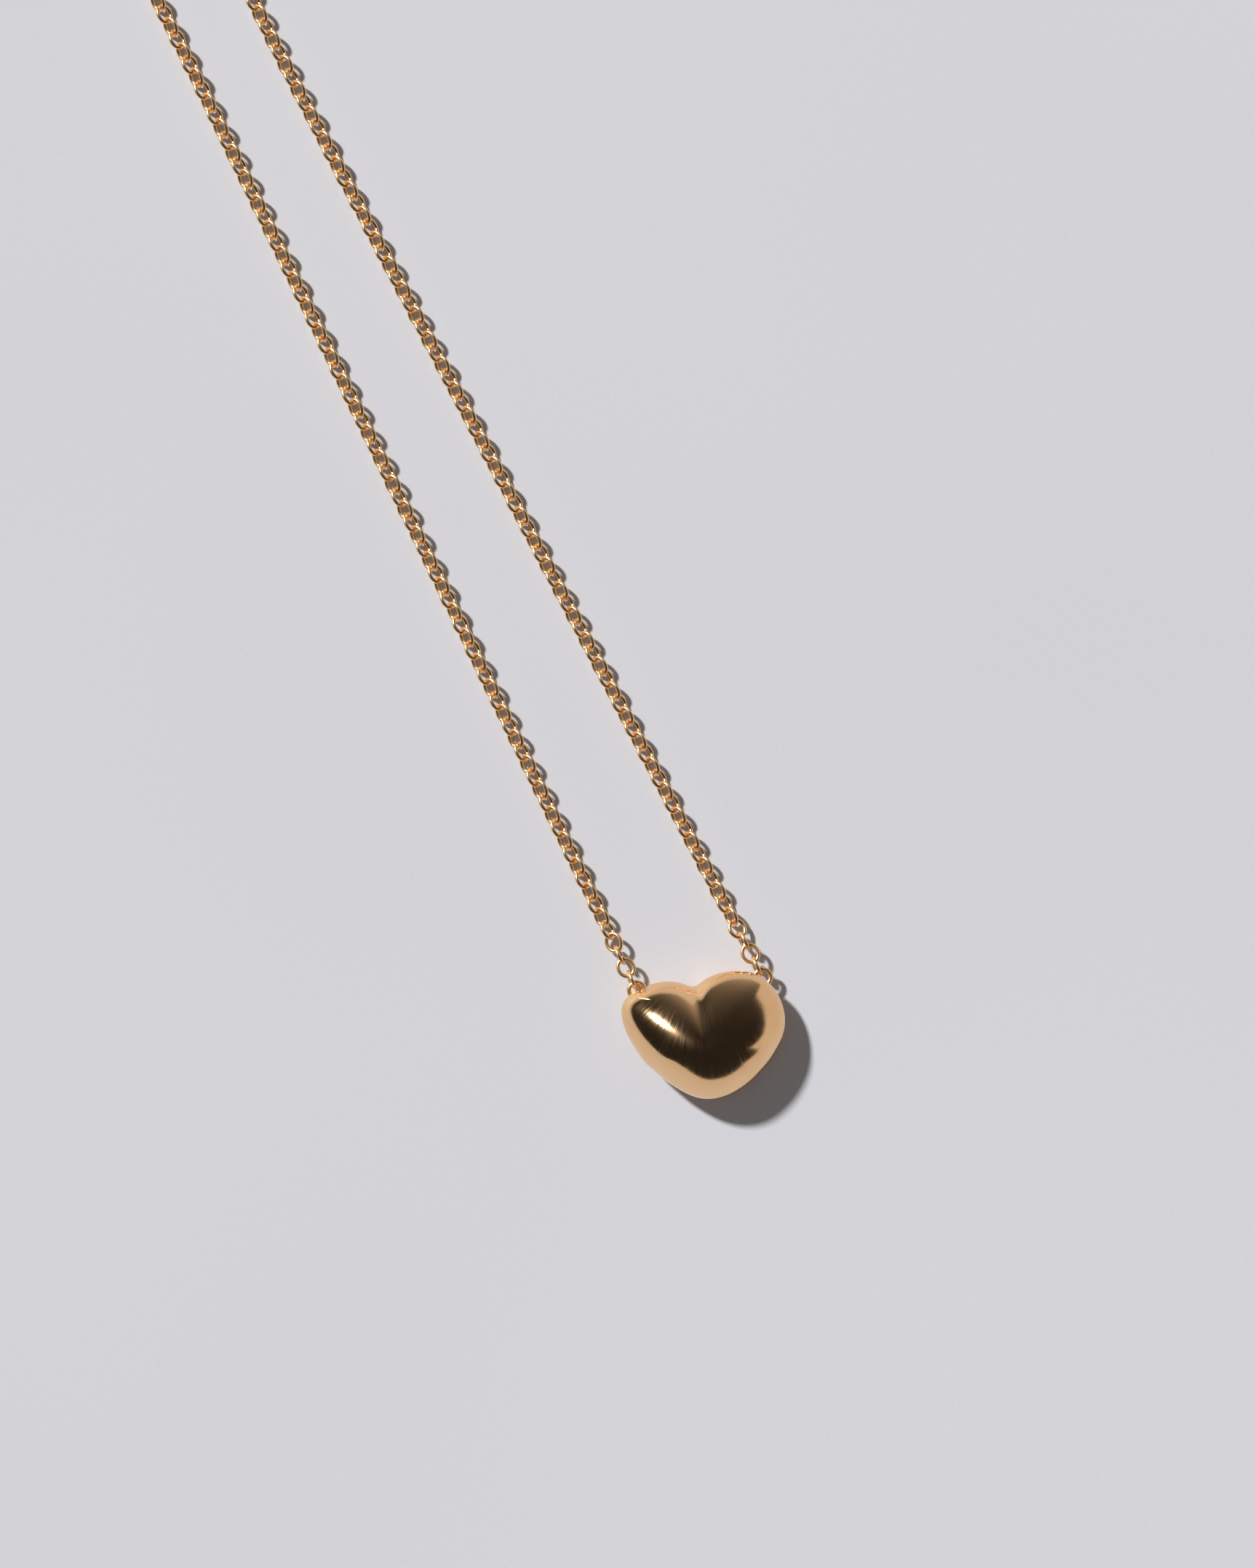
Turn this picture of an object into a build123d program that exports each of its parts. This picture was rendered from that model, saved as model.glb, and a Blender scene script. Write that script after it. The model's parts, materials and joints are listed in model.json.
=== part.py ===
from build123d import *
import math
import os

# A pendant necklace laid out flat and open: a puffed heart of gold-coloured metal, a fine cable chain that
# leaves it as two long strands, and a lobster clasp with its rings at the far ends of the strands.
# Millimetres. +Y runs along the strands, away from the heart. +Z is up and the table is z = 0.
# The origin is the middle of the small flat on the heart's back, which the pendant rests on.

# ---------------------------------------------------------------- driving dimensions
WIRE = 0.38             # diameter of the chain's round wire
LINK_WIDTH = 1.88       # outside width of a link
LINK_LENGTH = 2.16      # outside length of a link
LINK_GAP = 0.02         # play between two linked wires
PITCH = LINK_LENGTH - 2 * WIRE - LINK_GAP

FIRST_LINKS = 8         # links in the piece of strand beside the heart
SEGMENT_LINKS = 7       # links in every other piece of strand; odd, so the hinges lean left and right by turns
SEGMENTS = 20           # pieces in each strand
STRAND_LINKS = FIRST_LINKS + SEGMENT_LINKS * (SEGMENTS - 1)

STRAND_LEAN = 0.95      # degrees that each strand leans inward beside the heart
FLARE_LEAN = -2.5       # degrees that each strand leans (outward) towards its end
LEAN_ENDS = 108.0       # distance along a strand where it turns from one lean to the other
LEAN_BLEND = 40.0       # length of that gentle turn

HEART_TURN = 19.5       # degrees that the heart is turned clockwise from the strands
GIRDLE_Z = 2.8          # height of the seam between the two heart shells
FRONT_RISE = 4.7        # height of the front shell over the seam
SHELL = 0.4             # wall of the heart shells
PAD_SCALE = 0.30        # size of the flat on the back, as a share of the outline

BAIL_WIRE = 0.43        # wire of the two loops soldered to the heart
BAIL_RADIUS = 0.76      # to the middle of that wire
BAIL_Z = 1.6
LEFT_BAIL_AT = (-6.00, 5.15)    # centres of the loops, in the heart's own frame
RIGHT_BAIL_AT = (6.30, 5.03)

FLAT_Z = 0.78           # height of the chain's middle where it lies on the table, its links leaning 45 degrees
ROLL_LEAN = 45.0        # lean of the links that lie on the table
ROLL_SWAY = 4.0         # how much that lean wanders
SWAY_LENGTH = 31.0      # over this length of chain
DESCENT = 7.5           # distance from a loop to where the chain lies on the table
ROLL_STRETCH = 7.0      # distance over which the links settle to that lean, at both ends
END_STRETCH = 9.0       # distance over which the chain rises to the height of what it ends in
LEFT_END_Z = 1.45
RIGHT_END_Z = 1.01

RING_WIRE = 0.40        # small jump ring that holds the clasp
RING_RADIUS = 1.00      # to the middle of that wire
END_RING_WIRE = 0.60    # ring that the clasp hooks on
END_RING_RADIUS = 1.80

CLASP_LENGTH = 10.0     # from the tail of the eye to the nose of the claw
CLASP_WIDTH = 4.8
CLASP_THICK = 1.8
CLASP_ROUND = 0.45      # rounding of the claw's outer edges
CLASP_Z = 0.93          # height of its middle plane
EYE_RADIUS = 1.10
EYE_HOLE = 0.62         # radius
EYE_THICK = 0.50
EYE_PLAY = 0.06         # between the eye and its jump ring
CLAW_START = 1.9        # where the claw's oval begins, from the tail of the eye
HOLLOW_MIDDLE = (6.95, 0.05)    # oval hollow inside the claw
HOLLOW_REACH = (1.90, 1.15)
SLOT = 0.86             # gap between the two cheeks that hold the trigger
TRIGGER_THICK = 0.74
PIVOT = (3.9, 1.0)      # of the trigger, from the tail of the eye and the clasp's centre line
HUB_RADIUS = 0.80
GATE_REACH = 4.45       # from the pivot to the end of the gate
GATE_PLAY = 0.07
GATE_INNER = 0.85       # the gate's inner side, from the clasp's centre line
TAB_AT = (2.95, 2.55)   # middle of the round thumb tab
TAB_RADIUS = 0.50
PIN_RADIUS = 0.30
TRIGGER_BORE = 0.33
GATE_START = 5.45       # where the open side of the claw begins, from the tail of the eye
CHEEK_START = 2.65      # where the slot between the cheeks begins
CHEEK_END = 5.85        # and where it ends
CHEEK_FLOOR = -1.0      # bottom of that slot, from the clasp's centre line
SPRING_THICK = 0.12
SPRING_WIDTH = 0.60
SPRING_LINE = ((2.85, -0.85), (4.2, -0.45), (5.15, 0.10))   # start, middle and end of the bent leaf

os.makedirs("parts", exist_ok=True)


def save(name, *solids):
    """One STEP file for a node: a single solid, or a group of separate ones."""
    shape = solids[0] if len(solids) == 1 else Compound(children=list(solids))
    shape.label = name
    export_step(shape, f"parts/{name}.step")


def smooth(t):
    """0 below t = 0, 1 above t = 1, and a smooth step between."""
    t = min(max(t, 0.0), 1.0)
    return t * t * (3 - 2 * t)


# ---------------------------------------------------------------- heart
# The outline round the seam, in the heart's own frame: y up to the notch, x to the right lobe.
# It is uneven on purpose: the right lobe is fuller, the left flank is straighter, and the tip is blunt.
OUTLINE = [
    (-0.30, 5.02), (1.10, 5.47), (2.60, 5.84), (4.20, 5.88), (5.80, 5.36), (7.10, 4.05),
    (7.92, 1.70), (7.60, -0.80), (6.30, -2.75), (4.20, -4.75), (1.60, -6.00), (-1.00, -5.98),
    (-3.20, -4.75), (-5.60, -2.35), (-7.30, 0.54), (-7.88, 2.60), (-7.40, 4.45), (-6.00, 5.40),
    (-4.20, 5.78), (-2.10, 5.62),
]
DOME_SECTIONS = 12      # cross-sections that each half is lofted through
SMALLEST_SECTION = 0.10  # size of the front's last section, as a share of the outline

heart_frame = Rotation(0, 0, -HEART_TURN)


def heart_point(x, y):
    """A point of the heart's frame, in the part's frame."""
    turn = math.radians(-HEART_TURN)
    return (x * math.cos(turn) - y * math.sin(turn), x * math.sin(turn) + y * math.cos(turn))


class Half:
    """The shape of one half of the heart, from the seam to its far end.

    fullness is the powers of its profile, across and up: 2 is round, more is boxy. lean adds to the first
    towards the right lobe and towards the notch. The outline fades, by the share fade, to an oval of half
    sizes oval, and its middle moves by shift."""

    def __init__(self, fullness, lean, oval, fade, shift):
        self.fullness, self.lean, self.oval, self.fade, self.shift = fullness, lean, oval, fade, shift

    def section(self, angle, z, inset):
        """The cross-section at a height, where the profile has turned by angle from upright."""
        points = []
        for x, y in OUTLINE:
            away = math.hypot(x, y)
            across = self.fullness[0] + (self.lean[0] * x + self.lean[1] * y) / away
            share = math.cos(angle) ** (2 / across)
            turn = math.atan2(y / self.oval[1], x / self.oval[0])
            fade = self.fade * (1 - share)
            px = x * (1 - fade) + self.oval[0] * math.cos(turn) * fade
            py = y * (1 - fade) + self.oval[1] * math.sin(turn) * fade
            shrink = share * (1 - inset / math.hypot(px, py))
            px = px * shrink + self.shift[0] * (1 - share)
            py = py * shrink + self.shift[1] * (1 - share)
            points.append(Vector(px, py, z))
        return Wire([Edge.make_spline(points, periodic=True)])

    def dome(self, rise, last_share, inset=0.0):
        """A closed half heart from the seam to its flat end. A negative rise points down."""
        across, up = self.fullness
        last_angle = math.acos(last_share ** (across / 2))
        sections = []
        for i in range(DOME_SECTIONS):
            angle = last_angle * i / (DOME_SECTIONS - 1)
            height = math.sin(angle) ** (2 / up)
            sections.append(self.section(angle, GIRDLE_Z + rise * height, inset))
        return Solid.make_loft(sections)


# The front's top lies below the middle, under the notch's long slope, and it is fuller to the lower left.
FRONT = Half(fullness=(1.9, 1.65), lean=(-0.28, -0.28), oval=(6.0, 3.2), fade=1.2, shift=(-0.1, -1.2))
BACK = Half(fullness=(2.6, 2.2), lean=(0.0, 0.0), oval=(7.4, 5.6), fade=0.75, shift=(0.0, 0.0))


def back_dome(inset=0.0):
    """The back half, whose flat end lies at z = inset."""
    across, up = BACK.fullness
    pad_height = math.sqrt(1 - PAD_SCALE ** across) ** (2 / up)
    return BACK.dome(-(GIRDLE_Z - inset) / pad_height, PAD_SCALE, inset)


front_outer = FRONT.dome(FRONT_RISE, SMALLEST_SECTION)
front_inner = FRONT.dome(FRONT_RISE - SHELL, SMALLEST_SECTION, SHELL)
back_outer = back_dome()
back_inner = back_dome(SHELL)
save("heart_front_shell", heart_frame * (front_outer - front_inner))
save("heart_back_shell", heart_frame * (back_outer - back_inner))

# ---------------------------------------------------------------- loops soldered to the heart
# Each loop is a ring of wire, cut where it butts against the back shell.
back_solid = heart_frame * back_outer
left_bail_centre = Vector(*heart_point(*LEFT_BAIL_AT), BAIL_Z)
right_bail_centre = Vector(*heart_point(*RIGHT_BAIL_AT), BAIL_Z)
bail_ring = Torus(BAIL_RADIUS, BAIL_WIRE / 2)
save("left_bail_loop", Location(left_bail_centre) * bail_ring - back_solid)
save("right_bail_loop", Location(right_bail_centre) * bail_ring - back_solid)


# ---------------------------------------------------------------- chain
def oval_link():
    """A link of round wire: two half rings joined by two short straights. x is its length, y its width."""
    bend = (LINK_WIDTH - WIRE) / 2
    straight = LINK_LENGTH - LINK_WIDTH
    section = Plane(origin=(straight / 2, -bend, 0), z_dir=(1, 0, 0)) * Circle(WIRE / 2)
    side = extrude(section, -straight)
    end = revolve(section, Axis((straight / 2, 0, 0), (0, 0, 1)), 180)
    half = end + side
    return half + Rotation(0, 0, 180) * half


def direction_at(heading, slope):
    """A unit vector: heading is degrees from +Y towards +X, slope is degrees upward."""
    flat = math.cos(math.radians(slope))
    return Vector(
        flat * math.sin(math.radians(heading)),
        flat * math.cos(math.radians(heading)),
        math.sin(math.radians(slope)),
    )


def ring_plane(near_tip, direction, roll, reach):
    """The plane of a link or ring whose near wire is centred on near_tip. x runs along direction, and y
    lies in the link's own plane: sideways at roll 0, upright at roll 90. reach is from wire to middle."""
    side = direction.cross(Vector(0, 0, 1)).normalized()
    up = side.cross(direction)
    across = side * math.cos(math.radians(roll)) + up * math.sin(math.radians(roll))
    return Plane(near_tip + direction * reach, x_dir=direction, z_dir=direction.cross(across))


class Strand:
    """One strand of the chain, from its loop on the heart to its last link.

    hand is -1 for the left strand and 1 for the right. end_lean turns the last link: 0 leaves it upright
    and 90 lays it flat. end_z is the height of the wire at the very end."""

    def __init__(self, loop_centre, hand, end_lean, end_z):
        self.hand, self.end_lean, self.end_z = hand, end_lean, end_z
        self.length = STRAND_LINKS * PITCH
        start = direction_at(self.heading(0), 0)
        hold = loop_centre + start * BAIL_RADIUS
        self.planes, self.hinges = [], []
        swing = start.cross(Vector(0, 0, 1))
        play = (BAIL_WIRE + WIRE) / 2 + LINK_GAP
        for i in range(STRAND_LINKS):
            self.hinges.append((hold, swing))
            direction = self.direction(i, hold)
            plane = ring_plane(hold - direction * play, direction, self.roll(i), (LINK_LENGTH - WIRE) / 2)
            self.planes.append(plane)
            hold = plane.origin + direction * (LINK_LENGTH - WIRE) / 2
            swing = plane.y_dir if plane.y_dir.X > 0 else -plane.y_dir
            play = WIRE + LINK_GAP
        self.hinges.append((hold, swing))

    def heading(self, distance):
        turn = smooth((distance - LEAN_ENDS) / LEAN_BLEND + 0.5)
        return -self.hand * (STRAND_LEAN + (FLARE_LEAN - STRAND_LEAN) * turn)

    def height(self, distance):
        from_loop = 1 - smooth(distance / DESCENT)
        to_end = smooth((distance - self.length) / END_STRETCH + 1)
        return FLAT_Z + (BAIL_Z - FLAT_Z) * from_loop + (self.end_z - FLAT_Z) * to_end

    def direction(self, i, hold):
        """Towards the height that the chain has at the far end of link i."""
        rise = self.height((i + 1) * PITCH) - hold.Z
        return direction_at(self.heading(i * PITCH), math.degrees(math.asin(rise / PITCH)))

    def roll(self, i):
        """Upright and flat links take turns, and both lean as the chain settles on the table."""
        distance = i * PITCH
        settled = smooth((distance - 1.0) / ROLL_STRETCH)
        ending = smooth((distance - self.length + PITCH) / ROLL_STRETCH + 1)
        sway = ROLL_SWAY * math.sin(2 * math.pi * distance / SWAY_LENGTH) * settled * (1 - ending)
        lean = ROLL_LEAN * settled + (self.end_lean - ROLL_LEAN) * ending + sway
        upright = 90 if i % 2 == 0 else 0
        return 90 - self.hand * (90 - upright + lean)


def segment_starts():
    """The number of the first link of each piece of strand, and one past the last."""
    return [0] + [FIRST_LINKS + SEGMENT_LINKS * i for i in range(SEGMENTS)]


left = Strand(left_bail_centre, -1, 90, LEFT_END_Z)
right = Strand(right_bail_centre, 1, 0, RIGHT_END_Z)
link = oval_link()
starts = segment_starts()
for name, strand in (("left", left), ("right", right)):
    for k in range(SEGMENTS):
        group = [plane * link for plane in strand.planes[starts[k]:starts[k + 1]]]
        save(f"{name}_chain_{k + 1:02d}", *group)


# ---------------------------------------------------------------- rings at the ends of the strands
def wire_ring(radius, wire):
    return Torus(radius, wire / 2)


def linked_ring(hold, direction, roll, radius, wire, held_by):
    """The plane of a ring that hangs on a wire of diameter held_by, centred on hold."""
    return ring_plane(hold - direction * ((wire + held_by) / 2 + LINK_GAP), direction, roll, radius)


def slope_to(drop, run):
    return -math.degrees(math.asin(drop / run))


left_hold, left_swing = left.hinges[-1]
left_heading = left.heading(left.length)
ring_run = 2 * RING_RADIUS - (RING_WIRE + WIRE) / 2 - LINK_GAP
ring_direction = direction_at(left_heading, slope_to(left_hold.Z - CLASP_Z, ring_run))
jump_ring_plane = linked_ring(left_hold, ring_direction, 90, RING_RADIUS, RING_WIRE, WIRE)
save("clasp_jump_ring", jump_ring_plane * wire_ring(RING_RADIUS, RING_WIRE))

right_hold, right_swing = right.hinges[-1]
end_ring_run = 2 * END_RING_RADIUS - (END_RING_WIRE + WIRE) / 2 - LINK_GAP
end_ring_slope = slope_to(right_hold.Z - END_RING_WIRE / 2, end_ring_run)
end_ring_direction = direction_at(right.heading(right.length), end_ring_slope)
end_ring_plane = linked_ring(
    right_hold, end_ring_direction, 0, END_RING_RADIUS, END_RING_WIRE, WIRE
)
save("end_ring", end_ring_plane * wire_ring(END_RING_RADIUS, END_RING_WIRE))


# ---------------------------------------------------------------- lobster clasp
# In the clasp's own frame x runs from the tail of the eye to the nose, and z = 0 is its middle plane.
def slab(outline, thickness):
    """A flat shape made this thick, half above and half below the middle plane."""
    return extrude(outline, thickness / 2, both=True)


def oval(middle, reach):
    return Pos(*middle) * Ellipse(*reach)


def disc(middle, radius):
    return Pos(*middle) * Circle(radius)


def block(x_low, x_high, y_low, y_high):
    middle = ((x_low + x_high) / 2, (y_low + y_high) / 2)
    return Pos(*middle) * Rectangle(x_high - x_low, y_high - y_low)


claw_reach = ((CLASP_LENGTH - CLAW_START) / 2, CLASP_WIDTH / 2)
claw_middle = (CLAW_START + claw_reach[0], 0)
claw = oval(claw_middle, claw_reach)
hollow = oval(HOLLOW_MIDDLE, HOLLOW_REACH)
eye = disc((EYE_RADIUS, 0), EYE_RADIUS)
gate_room = disc(PIVOT, GATE_REACH + GATE_PLAY) & block(
    GATE_START, CLASP_LENGTH, GATE_INNER - GATE_PLAY, CLASP_WIDTH
)
slot = block(CHEEK_START, CHEEK_END, CHEEK_FLOOR, CLASP_WIDTH)


def clasp_body():
    shape = slab(claw, CLASP_THICK)
    rims = [e for e in shape.edges() if abs(abs(e.center().Z) - CLASP_THICK / 2) < 0.01]
    shape = fillet(rims, CLASP_ROUND)
    shape += slab(eye, EYE_THICK)
    shape -= slab(hollow, 2 * CLASP_THICK)
    shape -= slab(gate_room, 2 * CLASP_THICK)
    shape -= slab(slot, SLOT)
    shape -= slab(disc(PIVOT, PIN_RADIUS), 2 * CLASP_THICK)
    shape -= slab(disc((EYE_RADIUS, 0), EYE_HOLE), 2 * CLASP_THICK)
    return shape


def clasp_trigger():
    gate = (claw & disc(PIVOT, GATE_REACH)) & block(PIVOT[0], CLASP_LENGTH, GATE_INNER, CLASP_WIDTH)
    hub = disc(PIVOT, HUB_RADIUS)
    tab = disc(TAB_AT, TAB_RADIUS)
    neck = make_hull([*hub.edges(), *tab.edges()])
    return slab(gate + hub + neck, TRIGGER_THICK) - slab(disc(PIVOT, TRIGGER_BORE), TRIGGER_THICK * 2)


def clasp_spring():
    """A leaf of spring steel that bears on the inner side of the trigger."""
    strip = trace(ThreePointArc(*SPRING_LINE), SPRING_THICK)
    return slab(strip, SPRING_WIDTH)


eye_middle = (
    jump_ring_plane.origin
    + ring_direction * RING_RADIUS
    + direction_at(left_heading, 0) * (EYE_HOLE - RING_WIRE / 2 - EYE_PLAY)
)
clasp_direction = direction_at(left_heading, 0)
clasp_plane = Plane(
    Vector(eye_middle.X, eye_middle.Y, CLASP_Z) - clasp_direction * EYE_RADIUS,
    x_dir=clasp_direction,
    z_dir=(0, 0, 1),
)
save("clasp_body", clasp_plane * clasp_body())
save("clasp_trigger", clasp_plane * clasp_trigger())
save("clasp_pivot_pin", clasp_plane * (Pos(*PIVOT) * Cylinder(PIN_RADIUS, CLASP_THICK)))
save("clasp_spring", clasp_plane * clasp_spring())
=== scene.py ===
import math

import bpy
import numpy as np
from mathutils import Matrix, Vector
from mathutils.bvhtree import BVHTree
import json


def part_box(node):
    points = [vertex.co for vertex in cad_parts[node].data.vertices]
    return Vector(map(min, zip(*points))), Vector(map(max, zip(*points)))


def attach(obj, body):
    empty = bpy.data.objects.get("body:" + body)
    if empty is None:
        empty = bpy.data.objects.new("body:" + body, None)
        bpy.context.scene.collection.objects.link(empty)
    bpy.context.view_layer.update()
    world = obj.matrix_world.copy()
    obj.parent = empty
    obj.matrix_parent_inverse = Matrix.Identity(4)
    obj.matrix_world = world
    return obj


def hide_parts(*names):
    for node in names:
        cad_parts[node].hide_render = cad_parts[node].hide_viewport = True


# A pendant necklace: a puffed heart of polished gold-coloured metal on a fine cable chain, laid out open on
# a pale table. Everything is in the row's frame, in metres. The millimetre sizes below repeat part.py's.
MM = 0.001

# ---------------------------------------------------------------- driving dimensions, in millimetres
LINK_WIRE = 0.38            # the chain's wire
LINK_REACH = (0.89, 0.75)   # from a link's middle to the middle of its wire, along and across
LINK_STEPS = (44, 14)       # facets along a link's wire and round it
LINK_ROLL_SPREAD = 1.2      # degrees that links are turned at random about their own length
JOINT_SWELLING = (0.04, 0.16)   # a link's solder joint: share of extra thickness, and width in radians
JOINT_GROOVE = (0.07, 0.03)     # and the fine groove in its middle
JOINT_SPREAD = 0.1              # radians that the joint strays from a link's side

HEART_TURN = 19.5           # degrees that the heart is turned clockwise from the strands
SHELL = 0.4                 # wall of the heart's two halves
FRONT = {
    "fullness": (1.9, 1.65),    # powers of the profile, across and up
    "lean": (-0.28, -0.28),     # change of the power across, towards the right lobe and the notch
    "oval": (6.0, 3.2),         # the oval that the outline fades to towards the top
    "fade": 1.2,                # how far it fades
    "shift": (-0.1, -1.2),      # where the top stands
}
BACK = {
    "fullness": (2.6, 2.2),
    "lean": (0.0, 0.0),
    "oval": (7.4, 5.6),
    "fade": 0.75,
    "shift": (0.0, 0.0),
}
FLAT_SHARE = 0.30           # size of the flat on the back, as a share of the outline
HEART_GRID = 170            # facets across each half of the heart
OUTLINE_WAVES = 20          # smoothness of the outline read from the CAD seam
OUTLINE_SAMPLES = 720
OUTLINE_WINDOW = 0.12       # radians round a seam point in which the outermost point is looked for
SEAM_ROUND = 0.015          # rounding of the edges that meet at the seam

BUFFING_FAN = (0.2, 7.5)    # where the buffing lines meet, in the heart's own frame

BAIL_RADIUS = 0.76
BAIL_WIRE = 0.43
BAIL_STEPS = (64, 20)
BAIL_JOINT = (0.08, -1.2, 0.3)  # share of extra thickness, place round the loop and width, in radians

SOLDER_STEPS = (25, 18)     # facets along a run of solder and round it
SOLDER_ROUND_END = 0.15     # share of the run in which its thick end rounds off
SOLDER_TIP = 0.001          # width left at its thin end, as a share
ABOVE_HEART = 20.0          # height from which its surface is looked for

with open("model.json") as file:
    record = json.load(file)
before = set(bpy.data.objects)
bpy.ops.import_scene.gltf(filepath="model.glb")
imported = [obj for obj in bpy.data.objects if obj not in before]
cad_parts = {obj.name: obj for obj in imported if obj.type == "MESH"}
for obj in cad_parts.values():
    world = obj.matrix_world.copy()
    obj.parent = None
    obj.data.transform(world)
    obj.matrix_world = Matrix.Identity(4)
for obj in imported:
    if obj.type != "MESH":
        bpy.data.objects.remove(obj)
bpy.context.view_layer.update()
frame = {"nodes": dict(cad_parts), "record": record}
nodes = frame["nodes"]


# ---------------------------------------------------------------- meshes
def new_piece(name, points, faces, body, material, replaced=()):
    """A smooth mesh in the row frame that rides on a body. points are in metres."""
    mesh = bpy.data.meshes.new(name)
    mesh.from_pydata(np.asarray(points).tolist(), [], [list(face) for face in faces])
    mesh.shade_smooth()
    mesh.materials.append(material)
    piece = bpy.data.objects.new(name, mesh)
    bpy.context.scene.collection.objects.link(piece)
    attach(piece, body)
    if replaced:
        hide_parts(*replaced)
    return piece


def wrapped_grid(rows, columns):
    """Faces of a grid of points that closes on itself both ways, as on a ring of wire."""
    i, j = np.meshgrid(np.arange(rows), np.arange(columns), indexing="ij")
    i, j = i.ravel(), j.ravel()
    right, down = (j + 1) % columns, (i + 1) % rows
    return np.stack([i * columns + j, i * columns + right, down * columns + right, down * columns + j], 1)


def ring(reach, wire, steps, swelling):
    """An oval ring of wire in the xy plane, in millimetres. swelling(turn) is the wire's extra thickness."""
    turn = np.linspace(0, 2 * math.pi, steps[0], endpoint=False)
    round_wire = np.linspace(0, 2 * math.pi, steps[1], endpoint=False)
    line = np.stack([reach[0] * np.cos(turn), reach[1] * np.sin(turn), 0 * turn], 1)
    outward = np.stack([reach[1] * np.cos(turn), reach[0] * np.sin(turn), 0 * turn], 1)
    outward /= np.linalg.norm(outward, axis=1)[:, None]
    radius = wire / 2 * (1 + swelling(turn))[:, None, None]
    section = outward[:, None, :] * np.cos(round_wire)[None, :, None]
    section = section + np.array([0, 0, 1.0]) * np.sin(round_wire)[None, :, None]
    return (line[:, None, :] + radius * section).reshape(-1, 3), wrapped_grid(*steps)


def bump_at(turn, middle, width):
    """A smooth bump of height 1 at one place round a ring."""
    away = (turn - middle + math.pi) % (2 * math.pi) - math.pi
    return np.exp(-((away / width) ** 2))


# ---------------------------------------------------------------- places read from the CAD nodes
def mesh_arrays(node):
    """A CAD node's points, with doubles merged, and its triangles."""
    mesh = nodes[node].data
    points = np.empty(len(mesh.vertices) * 3)
    mesh.vertices.foreach_get("co", points)
    corners = np.empty(len(mesh.loops), int)
    mesh.loops.foreach_get("vertex_index", corners)
    points, same = np.unique(points.reshape(-1, 3).round(8), axis=0, return_inverse=True)
    return points, same.ravel()[corners].reshape(-1, 3)


def solids_of(node):
    """The triangles, as points, of each separate solid in a CAD node."""
    points, triangles = mesh_arrays(node)
    label = np.arange(len(points))
    while True:
        lowest = label[triangles].min(axis=1)
        spread = label.copy()
        for corner in triangles.T:
            np.minimum.at(spread, corner, lowest)
        spread = spread[spread]
        if (spread == label).all():
            break
        label = spread
    owner = label[triangles[:, 0]]
    return [points[triangles[owner == one]] for one in np.unique(owner)]


def link_place(triangles):
    """Middle and axes (length, width, thickness, as columns) of a chain link, from its surface."""
    a, b, c = triangles[:, 0], triangles[:, 1], triangles[:, 2]
    area = np.linalg.norm(np.cross(b - a, c - a), axis=1)
    middles = (a + b + c) / 3
    middle = (middles * area[:, None]).sum(0) / area.sum()
    away = middles - middle
    spread = (away * area[:, None]).T @ away
    axes = np.linalg.eigh(spread)[1][:, ::-1]
    axes[:, 0] *= math.copysign(1, axes[1, 0])
    axes[:, 1] *= math.copysign(1, axes[0, 1])
    axes[:, 2] = np.cross(axes[:, 0], axes[:, 1])
    return middle, axes


# ---------------------------------------------------------------- materials
class Nodes:
    """A procedural material under construction: short names for the nodes that the materials here share."""

    def __init__(self, name):
        self.material = bpy.data.materials.new(name)
        self.material.use_nodes = True
        self.tree = self.material.node_tree
        self.shader = self.tree.nodes["Principled BSDF"]

    def add(self, kind, inputs=(), **settings):
        node = self.tree.nodes.new(kind)
        for key, value in settings.items():
            setattr(node, key, value)
        for socket, value in dict(inputs).items():
            self.feed(node.inputs[socket], value)
        return node

    def feed(self, socket, value):
        if isinstance(value, bpy.types.NodeSocket):
            self.tree.links.new(value, socket)
        else:
            socket.default_value = value

    def place(self):
        return self.add("ShaderNodeTexCoord").outputs["Object"]

    def noise(self, where, scale, detail=3.0, roughness=0.5):
        inputs = {"Vector": where, "Scale": scale, "Detail": detail, "Roughness": roughness}
        return self.add("ShaderNodeTexNoise", inputs).outputs["Fac"]

    def between(self, value, low, high, low_in=0.3, high_in=0.7):
        inputs = {"Value": value, "From Min": low_in, "From Max": high_in, "To Min": low, "To Max": high}
        return self.add("ShaderNodeMapRange", inputs).outputs["Result"]

    def math(self, operation, a, b=0.0):
        return self.add("ShaderNodeMath", {0: a, 1: b}, operation=operation).outputs[0]

    def colours(self, share, first, second):
        inputs = {"Factor": share, 6: (*first, 1), 7: (*second, 1)}
        return self.add("ShaderNodeMix", inputs, data_type="RGBA").outputs[2]

    def bump(self, height, distance, strength=1.0, below=None):
        inputs = {"Height": height, "Distance": distance, "Strength": strength}
        if below is not None:
            inputs["Normal"] = below
        return self.add("ShaderNodeBump", inputs).outputs["Normal"]

    def finish(self, **sockets):
        for name, value in sockets.items():
            self.feed(self.shader.inputs[name.replace("_", " ").title()], value)
        return self.material


def polished_gold(name, dull, bright, mottle, low_rough, high_rough, dent):
    """Gold plate on small wire or castings: faint mottling, uneven polish and shallow dents."""
    m = Nodes(name)
    where = m.place()
    broad = m.noise(where, mottle)
    fine = m.noise(where, mottle * 7, detail=5.0)
    colour = m.colours(m.between(broad, 0.0, 1.0), dull, bright)
    dents = m.bump(broad, dent)
    return m.finish(
        Base_Color=colour,
        Metallic=1.0,
        Roughness=m.between(fine, low_rough, high_rough),
        Normal=m.bump(fine, dent * 0.08, below=dents),
    )


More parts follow.
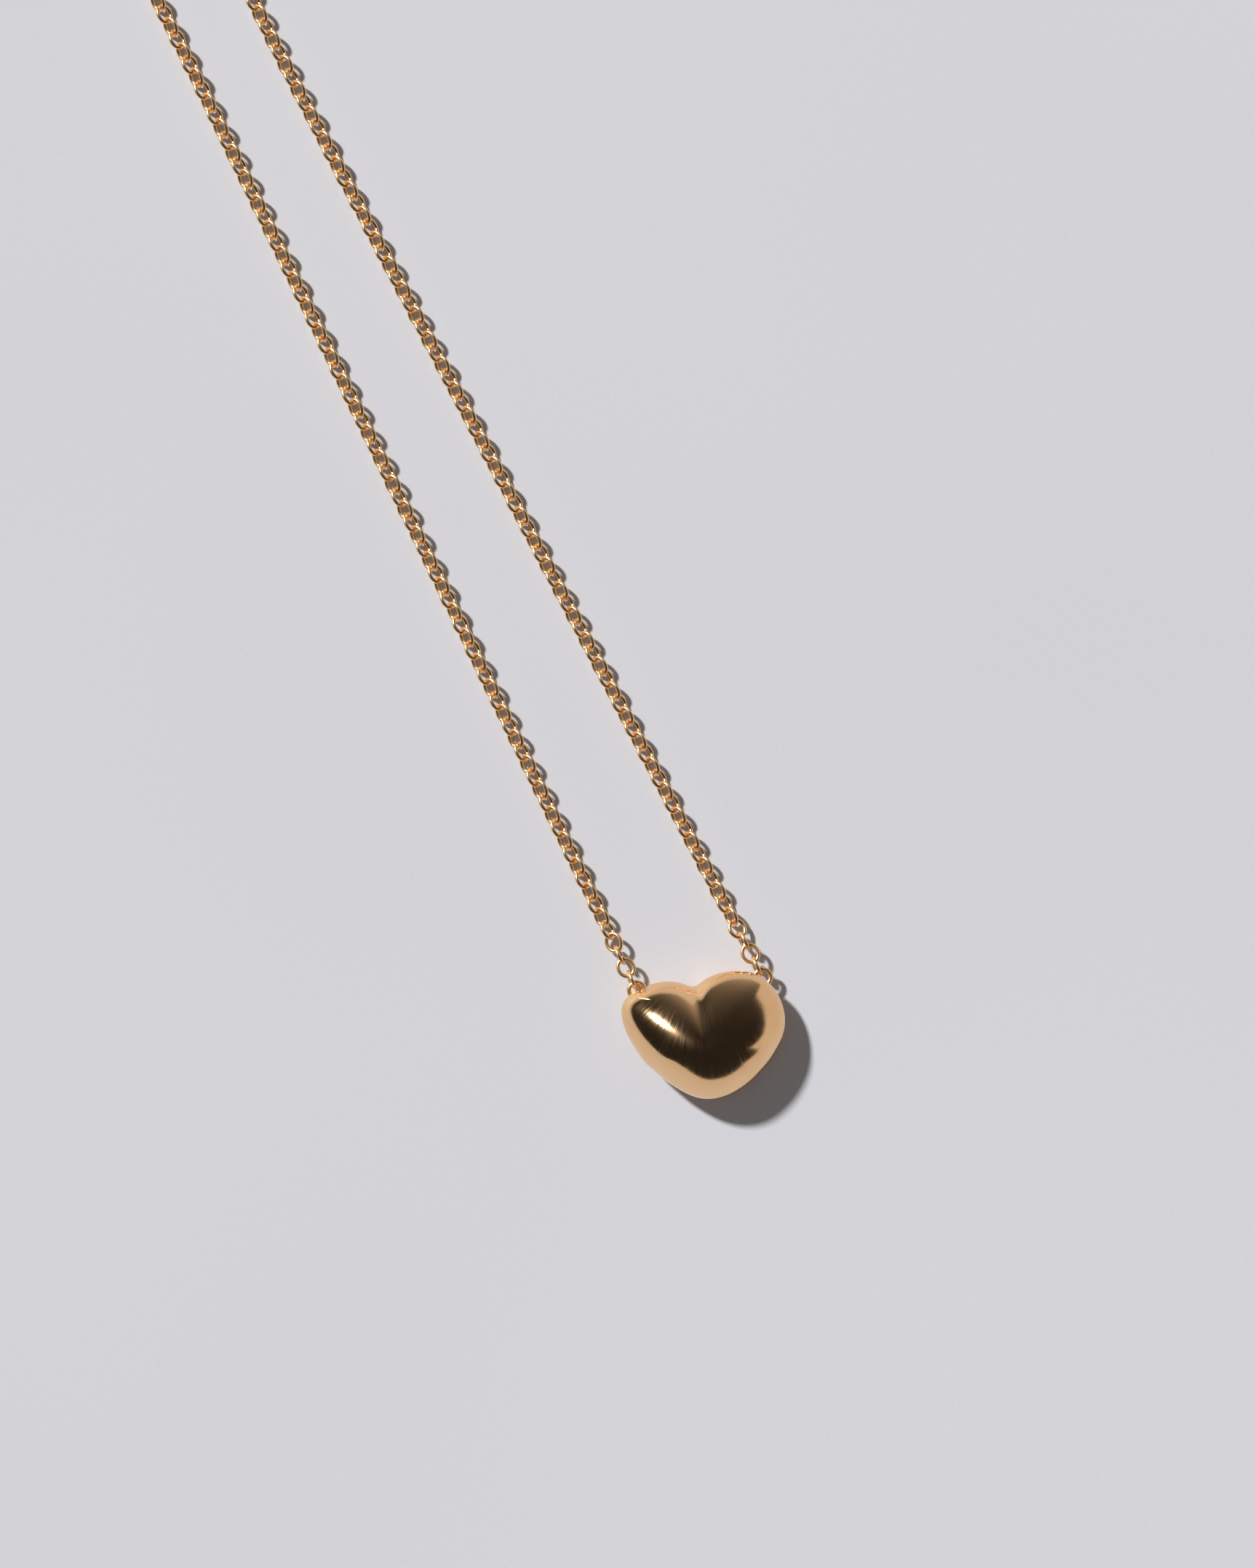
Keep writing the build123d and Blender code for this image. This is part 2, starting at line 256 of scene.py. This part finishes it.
def buffed_gold(name, fan_centre):
    """The heart's plate: mirror polish under buffing lines that fan out from the notch."""
    m = Nodes(name)
    where = m.place()
    away = m.add("ShaderNodeVectorMath", {0: where, 1: fan_centre}, operation="SUBTRACT").outputs[0]
    split = m.add("ShaderNodeSeparateXYZ", {0: away}).outputs
    turn = m.math("ARCTAN2", split["Y"], split["X"])
    reach = m.add("ShaderNodeVectorMath", {0: away}, operation="LENGTH").outputs["Value"]
    lines_place = m.add(
        "ShaderNodeCombineXYZ",
        {"X": m.math("MULTIPLY", turn, 240.0), "Y": m.math("MULTIPLY", reach, 300.0)},
    ).outputs[0]
    lines = m.noise(lines_place, 1.0, detail=4.0, roughness=0.65)
    drift = m.noise(where, 330.0, detail=2.0)
    grain = m.noise(where, 9000.0, detail=3.0)
    colour = m.colours(m.between(drift, 0.0, 1.0), (0.95, 0.60, 0.32), (0.98, 0.65, 0.36))
    waves = m.bump(drift, 0.000008)
    buffing = m.bump(lines, 0.0000011, below=waves)
    return m.finish(
        Base_Color=colour,
        Metallic=1.0,
        Roughness=m.between(lines, 0.085, 0.25, 0.44, 0.74),
        Normal=m.bump(grain, 0.0000007, below=buffing),
    )


def spring_steel():
    m = Nodes("spring_steel")
    where = m.place()
    stretched = m.add("ShaderNodeMapping", {"Vector": where, "Scale": (1.0, 1.0, 12.0)}).outputs[0]
    lines = m.noise(stretched, 4000.0, detail=4.0)
    return m.finish(
        Base_Color=m.colours(lines, (0.46, 0.46, 0.47), (0.62, 0.61, 0.60)),
        Metallic=1.0,
        Roughness=m.between(lines, 0.22, 0.42),
        Normal=m.bump(lines, 0.000002),
    )


def table_top():
    """Smooth pale board with the faintest grain."""
    m = Nodes("table_top")
    where = m.place()
    grain = m.noise(where, 2600.0, detail=4.0)
    cloud = m.noise(where, 9.0, detail=2.0)
    shade = m.math("ADD", m.math("MULTIPLY", grain, 0.25), m.math("MULTIPLY", cloud, 0.75))
    return m.finish(
        Base_Color=m.colours(m.between(shade, 0.0, 1.0), (0.66, 0.675, 0.725), (0.695, 0.71, 0.76)),
        Roughness=m.between(grain, 0.62, 0.78),
        Normal=m.bump(grain, 0.00001),
    )


# ---------------------------------------------------------------- chain
def chain_piece(node, body, material):
    """One mesh of finished links in the places of a CAD node's links."""
    random = np.random.default_rng(sum(node.encode()))
    points, faces = [], []
    for solid in solids_of(node):
        middle, axes = link_place(solid)
        side = random.choice([-1, 1]) * math.pi / 2 + random.normal(0, JOINT_SPREAD)

        def swelling(turn):
            swollen = JOINT_SWELLING[0] * bump_at(turn, side, JOINT_SWELLING[1])
            return swollen - JOINT_GROOVE[0] * bump_at(turn, side, JOINT_GROOVE[1])

        link, quads = ring(LINK_REACH, LINK_WIRE, LINK_STEPS, swelling)
        roll = Matrix.Rotation(math.radians(random.normal(0, LINK_ROLL_SPREAD)), 3, "X")
        placed = link * MM @ (axes @ np.array(roll)).T + middle
        faces.append(quads + sum(len(p) for p in points))
        points.append(placed)
    points, faces = np.vstack(points), np.vstack(faces)
    return new_piece(f"{node}_links", points, faces, body, material, [node])


# ---------------------------------------------------------------- heart
def turned(x, y, degrees):
    c, s = math.cos(math.radians(degrees)), math.sin(math.radians(degrees))
    return x * c - y * s, x * s + y * c


def seam_outline(front_node):
    """The heart's outline at the seam as a smooth closed curve: a function from direction to distance."""
    points = mesh_arrays(front_node)[0] / MM
    seam = points[points[:, 2] < points[:, 2].min() + 0.001]
    x, y = turned(seam[:, 0], seam[:, 1], HEART_TURN)
    angle, reach = np.arctan2(y, x), np.hypot(x, y)
    outer = [
        i
        for i in range(len(seam))
        if reach[i] > reach[np.abs(angle - angle[i]) < OUTLINE_WINDOW].max() - SHELL / 2
    ]
    order = np.array(outer)[np.argsort(angle[outer])]
    directions = np.linspace(-math.pi, math.pi, OUTLINE_SAMPLES, endpoint=False)
    distances = np.interp(directions, angle[order], reach[order], period=2 * math.pi)
    waves = np.arange(OUTLINE_WAVES)
    amounts = np.fft.rfft(distances)[:OUTLINE_WAVES] / OUTLINE_SAMPLES
    amounts = amounts * np.where(waves, 2, 1) * np.exp(-((waves / OUTLINE_WAVES) ** 4))

    def distance(direction):
        turns = np.exp(1j * np.outer(np.ravel(direction) + math.pi, waves))
        return (turns * amounts).sum(1).real

    return distance


def disc_grid(count):
    """Points of a disc of radius 1 as a grid with no pole: distance from the middle, and direction."""
    line = np.linspace(-1, 1, count + 1)
    u, v = np.meshgrid(line, line, indexing="ij")
    x, y = u * np.sqrt(1 - v * v / 2), v * np.sqrt(1 - u * u / 2)
    return np.hypot(x, y).ravel().clip(0, 1), np.arctan2(y, x).ravel()


def half_heart(shape, outline, seam_z, rise, flat_share, inset):
    """Points in millimetres of one half's surface. flat_share is the outline's shrinkage at the flat."""
    out, direction = disc_grid(HEART_GRID)
    angle = (1 - out) * math.pi / 2
    across, up = shape["fullness"]
    flat_angle = math.acos(flat_share ** (across / 2))
    height = np.sin(np.minimum(angle, flat_angle)) ** (2 / up)
    across = across + shape["lean"][0] * np.cos(direction) + shape["lean"][1] * np.sin(direction)
    share = np.cos(angle).clip(0, 1) ** (2 / across)
    reach = outline(direction)
    x, y = reach * np.cos(direction), reach * np.sin(direction)
    turn = np.arctan2(y / shape["oval"][1], x / shape["oval"][0])
    fade = shape["fade"] * (1 - share)
    px = x * (1 - fade) + shape["oval"][0] * np.cos(turn) * fade
    py = y * (1 - fade) + shape["oval"][1] * np.sin(turn) * fade
    edge = SEAM_ROUND * np.exp(-abs(rise) * height / SEAM_ROUND)
    shrink = share * (1 - (inset + edge) / np.hypot(px, py))
    x = px * shrink + shape["shift"][0] * (1 - share)
    y = py * shrink + shape["shift"][1] * (1 - share)
    x, y = turned(x, y, -HEART_TURN)
    return np.stack([x, y, seam_z + rise * height], 1)


def open_grid(count):
    """Faces of a plain grid of (count + 1) squared points, and the loop of points round its edge."""
    i, j = np.meshgrid(np.arange(count), np.arange(count), indexing="ij")
    i, j, wide = i.ravel(), j.ravel(), count + 1
    faces = np.stack([i * wide + j, (i + 1) * wide + j, (i + 1) * wide + j + 1, i * wide + j + 1], 1)
    side = np.arange(count)
    loop = np.concatenate([side * wide, count * wide + side, (count - side) * wide + count, count - side])
    return faces, loop


def heart_half(name, node, shape, outline, seam_z, rise, flat_share, material):
    """A hollow half heart of SHELL thickness: an outer and an inner surface joined round the seam."""
    outer = half_heart(shape, outline, seam_z, rise, flat_share, 0.0)
    inner_rise = rise - math.copysign(SHELL, rise)
    inner = half_heart(shape, outline, seam_z, inner_rise, flat_share, SHELL)
    faces, loop = open_grid(HEART_GRID)
    after = np.roll(loop, -1)
    if rise < 0:
        faces = faces[:, ::-1]
        loop, after = after, loop
    shift = len(outer)
    rim = np.stack([after, loop, loop + shift, after + shift], 1)
    faces = np.vstack([faces, faces[:, ::-1] + shift, rim])
    return new_piece(name, np.vstack([outer, inner]) * MM, faces, "heart", material, [node])


def build_heart(material):
    outline = seam_outline("heart_front_shell")
    low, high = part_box("heart_front_shell")
    seam_z, rise = low.z / MM, high.z / MM - low.z / MM
    flat_height = math.sin(math.acos(FLAT_SHARE ** (BACK["fullness"][0] / 2))) ** (2 / BACK["fullness"][1])
    front = heart_half("heart_front", "heart_front_shell", FRONT, outline, seam_z, rise, 0, material)
    back_rise = -seam_z / flat_height
    heart_half("heart_back", "heart_back_shell", BACK, outline, seam_z, back_rise, FLAT_SHARE, material)
    return front


def bail_loop(side, material):
    """A closed loop of wire, with the swelling of its solder joint."""
    node = f"{side}_bail_loop"
    low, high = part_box(node)
    centre = Vector(((low.x + high.x) / 2, (low.y + high.y) / 2, (low.z + high.z) / 2))
    extra, at, width = BAIL_JOINT
    points, faces = ring(
        (BAIL_RADIUS, BAIL_RADIUS), BAIL_WIRE, BAIL_STEPS, lambda turn: extra * bump_at(turn, at, width)
    )
    points = points * MM + np.array(centre)
    return new_piece(f"{side}_bail", points, faces, "heart", material, [node])


def surface_line(route, count, surface):
    """Points on the heart's surface under a straight flat route, in metres, and its normals there."""
    along = np.linspace(0, 1, count)[:, None]
    points, normals = [], []
    for x, y in np.array(route[0]) * (1 - along) + np.array(route[1]) * along:
        above = Vector((x * MM, y * MM, ABOVE_HEART * MM))
        point, normal = surface.ray_cast(above, Vector((0, 0, -1)))[:2]
        points.append(point)
        normals.append(normal)
    return along, np.array(points), np.array(normals)


def solder_run(name, route, width, height, surface, material):
    """Solder that has run over the heart's surface: a low ridge along route, tapering to a point.

    route is the flat places, in millimetres, of its thick and its thin end."""
    count, sides = SOLDER_STEPS
    along, line, upward = surface_line(route, count, surface)
    side = np.cross(np.gradient(line, axis=0), upward)
    side /= np.linalg.norm(side, axis=1)[:, None]
    from_end = np.minimum(along / SOLDER_ROUND_END, 1)
    taper = np.sqrt(np.clip(1 - (1 - from_end) ** 2, 0, 1)) * (1 - along) + SOLDER_TIP
    turn = np.linspace(0, 2 * math.pi, sides, endpoint=False)[None, :, None]
    points = (
        line[:, None, :]
        + (side * taper * width / 2 * MM)[:, None, :] * np.cos(turn)
        + (upward * taper * height * MM)[:, None, :] * np.sin(turn)
    )
    faces = wrapped_grid(count, sides)[:-sides].tolist()
    last = (count - 1) * sides
    faces += [list(range(sides))[::-1], list(range(last, last + sides))]
    return new_piece(name, points.reshape(-1, 3), faces, "heart", material)


# ---------------------------------------------------------------- build
chain_gold = polished_gold(
    "chain_gold", (0.98, 0.59, 0.27), (1.0, 0.70, 0.38), 1500.0, 0.27, 0.38, 0.000012
)
clasp_gold = polished_gold(
    "clasp_gold", (0.91, 0.57, 0.25), (0.97, 0.67, 0.34), 500.0, 0.19, 0.24, 0.000004
)
fan_x, fan_y = turned(*BUFFING_FAN, -HEART_TURN)
heart_gold = buffed_gold("heart_gold", (fan_x * MM, fan_y * MM, 0.0))
steel = spring_steel()

for body, members in frame["record"]["behaviour"]["bodies"].items():
    for node in members:
        if "_chain_" in node:
            chain_piece(node, body, chain_gold)

front = build_heart(heart_gold)
bail_loop("left", chain_gold)
bail_loop("right", chain_gold)
surface = BVHTree.FromPolygons(
    [vertex.co for vertex in front.data.vertices], [face.vertices for face in front.data.polygons]
)
solder_run("left_solder_run", ((-4.05, 6.62), (-3.12, 5.64)), 0.80, 0.055, surface, chain_gold)
solder_run("right_solder_bead", ((6.62, 3.60), (7.12, 3.20)), 0.50, 0.16, surface, chain_gold)

for node in ("clasp_body", "clasp_trigger", "clasp_pivot_pin", "clasp_jump_ring", "end_ring"):
    nodes[node].data.materials.clear()
    nodes[node].data.materials.append(clasp_gold)
nodes["clasp_spring"].data.materials.clear()
nodes["clasp_spring"].data.materials.append(steel)

# ---------------------------------------------------------------- table, light and camera
TABLE_SIZE = 6.0            # metres
SENSOR = 36.0               # millimetres
VIEW_CENTRE = (0.0043, 0.0254)
VIEW_HEIGHT = 0.1533        # of the table that the picture covers, in metres
CAMERA_UP = 0.8
CAMERA_TURN = -26.7         # degrees that the necklace's +Y leans left in the picture
KEY_FROM = (-0.334, 0.940)  # flat direction that the key light comes from
KEY_ELEVATION = 41.0
KEY_SIZE = 5.0              # degrees
KEY_STRENGTH = 3.75
KEY_COLOUR = (1.0, 0.985, 0.97)
FILL = (0.172, 0.160, 0.156)    # even light from all round
SHINE_COLOUR = (1.0, 0.93, 0.88)    # what the metal sees

# Levels of what the metal sees, by direction round the table (degrees from +X) and height (sine of the rise).
WALL_RISE, WALL_SOFT, WALL_LEVEL = 0.14, 0.03, 0.62
CARD_SIDES, CARD_SOFT = (-53.0, 22.0), 4.0
CARD_RISE = (0.36, 0.48)    # its top edge at either side
GLOW_AT, GLOW_WIDTH, GLOW_LEVEL, GLOW_RISE = 48.0, 50.0, 0.46, 0.74
GLOW_FALL = 1.5             # power by which it fades upward
DARK_LEVEL = 0.02


def build_table():
    mesh = bpy.data.meshes.new("table_top")
    r = TABLE_SIZE / 2
    mesh.from_pydata([(-r, -r, 0), (r, -r, 0), (r, r, 0), (-r, r, 0)], [], [(0, 1, 2, 3)])
    mesh.materials.append(table_top())
    table = bpy.data.objects.new("table_top", mesh)
    bpy.context.scene.collection.objects.link(table)


def ramp(tree, value, stops):
    """A smooth grey level that depends on value, from (value, level) pairs."""
    node = tree.nodes.new("ShaderNodeValToRGB")
    node.color_ramp.interpolation = "EASE"
    while len(node.color_ramp.elements) < len(stops):
        node.color_ramp.elements.new(0.5)
    for element, (position, level) in zip(node.color_ramp.elements, stops):
        element.position = position
        element.color = (level, level, level, 1)
    tree.links.new(value, node.inputs["Fac"])
    return node.outputs["Color"]


def compass(degrees):
    """A direction round the table, in degrees from +X towards +Y, as a share of a turn that starts at -X."""
    return degrees / 360 + 0.5


def build_world():
    """A dark studio round a pale table. What shines in the metal: a low pale wall, a card to the right and a
    dim warm glow beyond the notch. What lights the table: an even, slightly warm fill."""
    world = bpy.data.worlds.new("studio")
    world.use_nodes = True
    bpy.context.scene.world = world
    tree = world.node_tree

    def maths(operation, *values, clamp=False):
        node = tree.nodes.new("ShaderNodeMath")
        node.operation, node.use_clamp = operation, clamp
        for socket, value in zip(node.inputs, values):
            if isinstance(value, bpy.types.NodeSocket):
                tree.links.new(value, socket)
            else:
                socket.default_value = value
        return node.outputs[0]

    split = tree.nodes.new("ShaderNodeSeparateXYZ")
    tree.links.new(tree.nodes.new("ShaderNodeTexCoord").outputs["Generated"], split.inputs[0])
    rise = split.outputs["Z"]
    angle = maths("ARCTAN2", split.outputs["Y"], split.outputs["X"])
    turn = maths("ADD", maths("DIVIDE", angle, 2 * math.pi), 0.5)

    level = maths("MAXIMUM", wall_and_card(tree, maths, turn, rise), glow(tree, maths, turn, rise))
    shine = tree.nodes.new("ShaderNodeVectorMath")
    shine.operation = "SCALE"
    shine.inputs[0].default_value = SHINE_COLOUR
    tree.links.new(level, shine.inputs["Scale"])
    choice = tree.nodes.new("ShaderNodeMix")
    choice.data_type = "RGBA"
    choice.inputs[6].default_value = (*FILL, 1)
    glossy = tree.nodes.new("ShaderNodeLightPath").outputs["Is Glossy Ray"]
    tree.links.new(glossy, choice.inputs["Factor"])
    tree.links.new(shine.outputs[0], choice.inputs[7])
    tree.links.new(choice.outputs[2], tree.nodes["Background"].inputs["Color"])


def wall_and_card(tree, maths, turn, rise):
    """Pale up to a height that steps up from the wall to the card."""
    low, high = CARD_SIDES
    stops = [
        (compass(low - CARD_SOFT), WALL_RISE),
        (compass(low), CARD_RISE[0]),
        (compass(high), CARD_RISE[1]),
        (compass(high + CARD_SOFT), WALL_RISE),
    ]
    under = maths("SUBTRACT", ramp(tree, turn, stops), rise)
    return maths("MULTIPLY", maths("MULTIPLY", under, 1 / WALL_SOFT, clamp=True), WALL_LEVEL)


def glow(tree, maths, turn, rise):
    """A dim glow in one direction that fades upward, over the dark of the room."""
    stops = [
        (compass(GLOW_AT - GLOW_WIDTH), 0.0),
        (compass(GLOW_AT), GLOW_LEVEL),
        (compass(GLOW_AT + GLOW_WIDTH), 0.0),
    ]
    fade = maths("SUBTRACT", 1.0, maths("DIVIDE", rise, GLOW_RISE), clamp=True)
    faded = maths("MULTIPLY", ramp(tree, turn, stops), maths("POWER", fade, GLOW_FALL))
    return maths("ADD", faded, DARK_LEVEL)


def build_key():
    light = bpy.data.lights.new("key", "SUN")
    light.energy = KEY_STRENGTH
    light.angle = math.radians(KEY_SIZE)
    light.color = KEY_COLOUR
    key = bpy.data.objects.new("key", light)
    rise = math.radians(KEY_ELEVATION)
    towards = Vector((KEY_FROM[0] * math.cos(rise), KEY_FROM[1] * math.cos(rise), math.sin(rise)))
    key.rotation_euler = towards.to_track_quat("Z", "Y").to_euler()
    bpy.context.scene.collection.objects.link(key)


def build_camera():
    data = bpy.data.cameras.new("camera")
    data.sensor_width = SENSOR
    data.lens = data.sensor_width * CAMERA_UP / VIEW_HEIGHT
    data.clip_start, data.clip_end = 0.01, 20.0
    camera = bpy.data.objects.new("camera", data)
    camera.location = (*VIEW_CENTRE, CAMERA_UP)
    camera.rotation_euler = (0, 0, math.radians(CAMERA_TURN))
    bpy.context.scene.collection.objects.link(camera)
    bpy.context.scene.camera = camera


build_table()
build_world()
build_key()
build_camera()
bpy.context.scene.view_settings.view_transform = "Standard"
